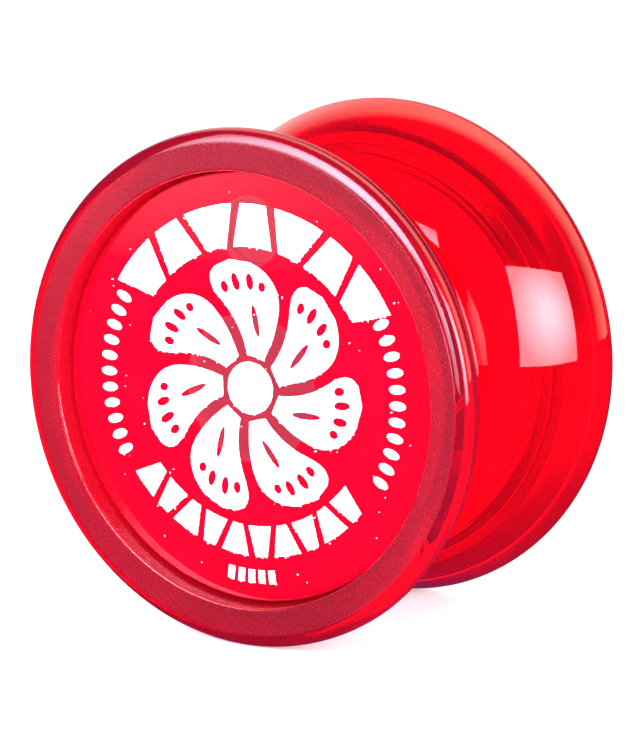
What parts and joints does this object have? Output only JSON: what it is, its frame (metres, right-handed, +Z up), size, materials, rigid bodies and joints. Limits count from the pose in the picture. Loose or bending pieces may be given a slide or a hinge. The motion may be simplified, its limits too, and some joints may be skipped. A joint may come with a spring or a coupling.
{
  "type": "yo-yo",
  "caption": "Flared yo-yo with clear red halves, sunken printed side caps, and a steel axle with a turning sleeve for the string.",
  "frame": {"origin": "on the spin axis, midway between the two halves, at the middle of the string gap", "axes": "Y is the spin axis, with the printed front face towards -Y; +Z is up with the yo-yo standing on its two rims; X completes the frame"},
  "size_m": [0.057, 0.0336, 0.057],
  "materials": {
    "clear_red_body": "polished see-through red moulding, with a fine satin texture on the flat outer ring",
    "clear_red_cap": "polished see-through red moulding with a one-colour white pad print",
    "plated_steel": "zinc-plated steel, dull bright",
    "sleeve_steel": "turned steel, smooth from the string"
  },
  "bodies": {
    "sleeve": {"axle_sleeve": "sleeve_steel"},
    "spinning_body": {"front_half": "clear_red_body", "rear_half": "clear_red_body", "front_cap": "clear_red_cap", "rear_cap": "clear_red_cap", "front_nut": "plated_steel", "rear_nut": "plated_steel", "axle_rod": "plated_steel"}
  },
  "joints": [
    {"name": "spin", "type": "hinge", "parent": "sleeve", "child": "spinning_body", "pos_m": [0, 0, 0], "axis": [0, 1, 0], "continuous": true}
  ]
}
